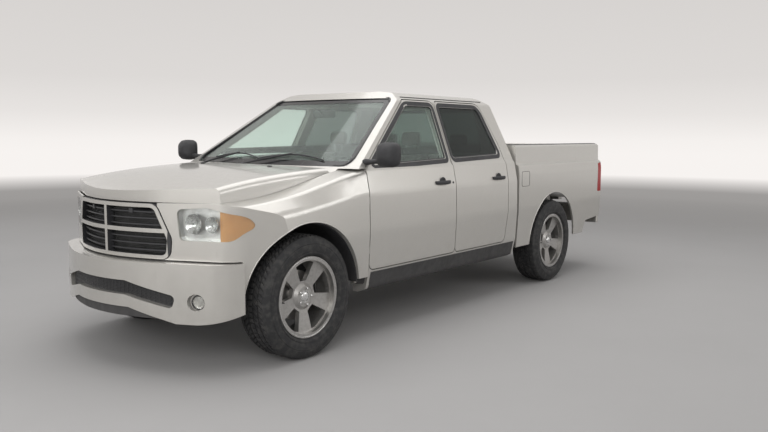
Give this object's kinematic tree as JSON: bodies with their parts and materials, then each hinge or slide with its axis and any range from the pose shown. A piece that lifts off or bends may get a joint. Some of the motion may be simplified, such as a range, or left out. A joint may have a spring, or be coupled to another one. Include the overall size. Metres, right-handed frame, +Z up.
{
  "type": "pickup truck",
  "caption": "Full-size four-door pickup truck with raised hood, separate load bed, opening doors, hood and tailgate, and steered front wheels.",
  "frame": {"origin": "on the ground, under the middle of the truck's length and width", "axes": "+X to the front, +Y to the left, +Z up"},
  "size_m": [5.784, 2.4552, 1.8705],
  "materials": {
    "body_paint": "metallic silver paint",
    "window_glass": "tinted",
    "black_plastic": "grained",
    "tyre_rubber": "matt",
    "wheel_alloy": "satin silver paint",
    "frame_black": "satin black",
    "engine_metal": "rough",
    "exhaust_steel": "dull",
    "grille_dark": "dark",
    "lamp_clear": "clear lens",
    "lamp_red": "red lens",
    "cabin_plastic": "grained",
    "seat_cloth": "woven"
  },
  "bodies": {
    "chassis": {"cab_shell": "body_paint", "cab_glass": "window_glass", "cab_floor": "frame_black", "fender_left": "body_paint", "fender_right": "body_paint", "wheel_liners": "black_plastic", "cowl": "black_plastic", "grille": "grille_dark", "headlamps": "lamp_clear", "front_bumper": "body_paint", "radiator": "engine_metal", "bedside_left": "body_paint", "bedside_right": "body_paint", "bed_box": "body_paint", "tail_lamps": "lamp_red", "rear_bumper": "body_paint", "frame": "frame_black", "rear_axle": "frame_black", "driveshaft": "frame_black", "leaf_springs": "frame_black", "front_suspension": "frame_black", "spare_wheel": "tyre_rubber", "exhaust": "exhaust_steel", "fuel_tank": "black_plastic", "engine": "engine_metal", "dashboard": "cabin_plastic", "front_seats": "seat_cloth", "rear_bench": "seat_cloth"},
    "front_left_door": {"door_front_left": "body_paint", "glass_front_left": "window_glass", "mirror_left": "black_plastic"},
    "front_right_door": {"door_front_right": "body_paint", "glass_front_right": "window_glass", "mirror_right": "black_plastic"},
    "rear_left_door": {"door_rear_left": "body_paint", "glass_rear_left": "window_glass"},
    "rear_right_door": {"door_rear_right": "body_paint", "glass_rear_right": "window_glass"},
    "hood_panel": {"hood": "body_paint"},
    "tailgate_panel": {"tailgate": "body_paint"},
    "left_knuckle": {"knuckle_left": "frame_black"},
    "right_knuckle": {"knuckle_right": "frame_black"},
    "front_left_wheel": {"wheel_front_left": "wheel_alloy", "tyre_front_left": "tyre_rubber"},
    "front_right_wheel": {"wheel_front_right": "wheel_alloy", "tyre_front_right": "tyre_rubber"},
    "rear_left_wheel": {"wheel_rear_left": "wheel_alloy", "tyre_rear_left": "tyre_rubber"},
    "rear_right_wheel": {"wheel_rear_right": "wheel_alloy", "tyre_rear_right": "tyre_rubber"},
    "steering": {"steering_wheel": "cabin_plastic"}
  },
  "joints": [
    {"name": "front_left_door_hinge", "type": "hinge", "parent": "chassis", "child": "front_left_door", "pos_m": [1.305, 0.998, 0.9], "axis": [0, 0, -1], "range_deg": [0, 65]},
    {"name": "front_right_door_hinge", "type": "hinge", "parent": "chassis", "child": "front_right_door", "pos_m": [1.305, -0.998, 0.9], "axis": [0, 0, 1], "range_deg": [0, 65]},
    {"name": "rear_left_door_hinge", "type": "hinge", "parent": "chassis", "child": "rear_left_door", "pos_m": [0.176, 0.998, 0.9], "axis": [0, 0, -1], "range_deg": [0, 65]},
    {"name": "rear_right_door_hinge", "type": "hinge", "parent": "chassis", "child": "rear_right_door", "pos_m": [0.176, -0.998, 0.9], "axis": [0, 0, 1], "range_deg": [0, 65]},
    {"name": "hood_hinge", "type": "hinge", "parent": "chassis", "child": "hood_panel", "pos_m": [1.56, 0, 1.208], "axis": [0, -1, 0], "range_deg": [0, 50]},
    {"name": "tailgate_hinge", "type": "hinge", "parent": "chassis", "child": "tailgate_panel", "pos_m": [-2.76, 0, 0.822], "axis": [0, -1, 0], "range_deg": [0, 88]},
    {"name": "left_kingpin", "type": "hinge", "parent": "chassis", "child": "left_knuckle", "pos_m": [1.937, 0.7835, 0.418], "axis": [0, 0, 1], "range_deg": [-33, 33]},
    {"name": "right_kingpin", "type": "hinge", "parent": "chassis", "child": "right_knuckle", "pos_m": [1.937, -0.7835, 0.418], "axis": [0, 0, 1], "range_deg": [-33, 33]},
    {"name": "front_left_wheel_spin", "type": "hinge", "parent": "left_knuckle", "child": "front_left_wheel", "pos_m": [1.937, 0.8635, 0.418], "axis": [0, 1, 0], "continuous": true},
    {"name": "front_right_wheel_spin", "type": "hinge", "parent": "right_knuckle", "child": "front_right_wheel", "pos_m": [1.937, -0.8635, 0.418], "axis": [0, 1, 0], "continuous": true},
    {"name": "rear_left_wheel_spin", "type": "hinge", "parent": "chassis", "child": "rear_left_wheel", "pos_m": [-1.632, 0.8635, 0.418], "axis": [0, 1, 0], "continuous": true},
    {"name": "rear_right_wheel_spin", "type": "hinge", "parent": "chassis", "child": "rear_right_wheel", "pos_m": [-1.632, -0.8635, 0.418], "axis": [0, 1, 0], "continuous": true},
    {"name": "steering_spin", "type": "hinge", "parent": "chassis", "child": "steering", "pos_m": [0.85, 0.385, 1.135], "axis": [-0.8988, 0, 0.4384], "range_deg": [-528, 528]}
  ],
  "couplings": [
    {"joint": "right_kingpin", "follows": "left_kingpin", "ratio": 1},
    {"joint": "steering_spin", "follows": "left_kingpin", "ratio": 16}
  ]
}
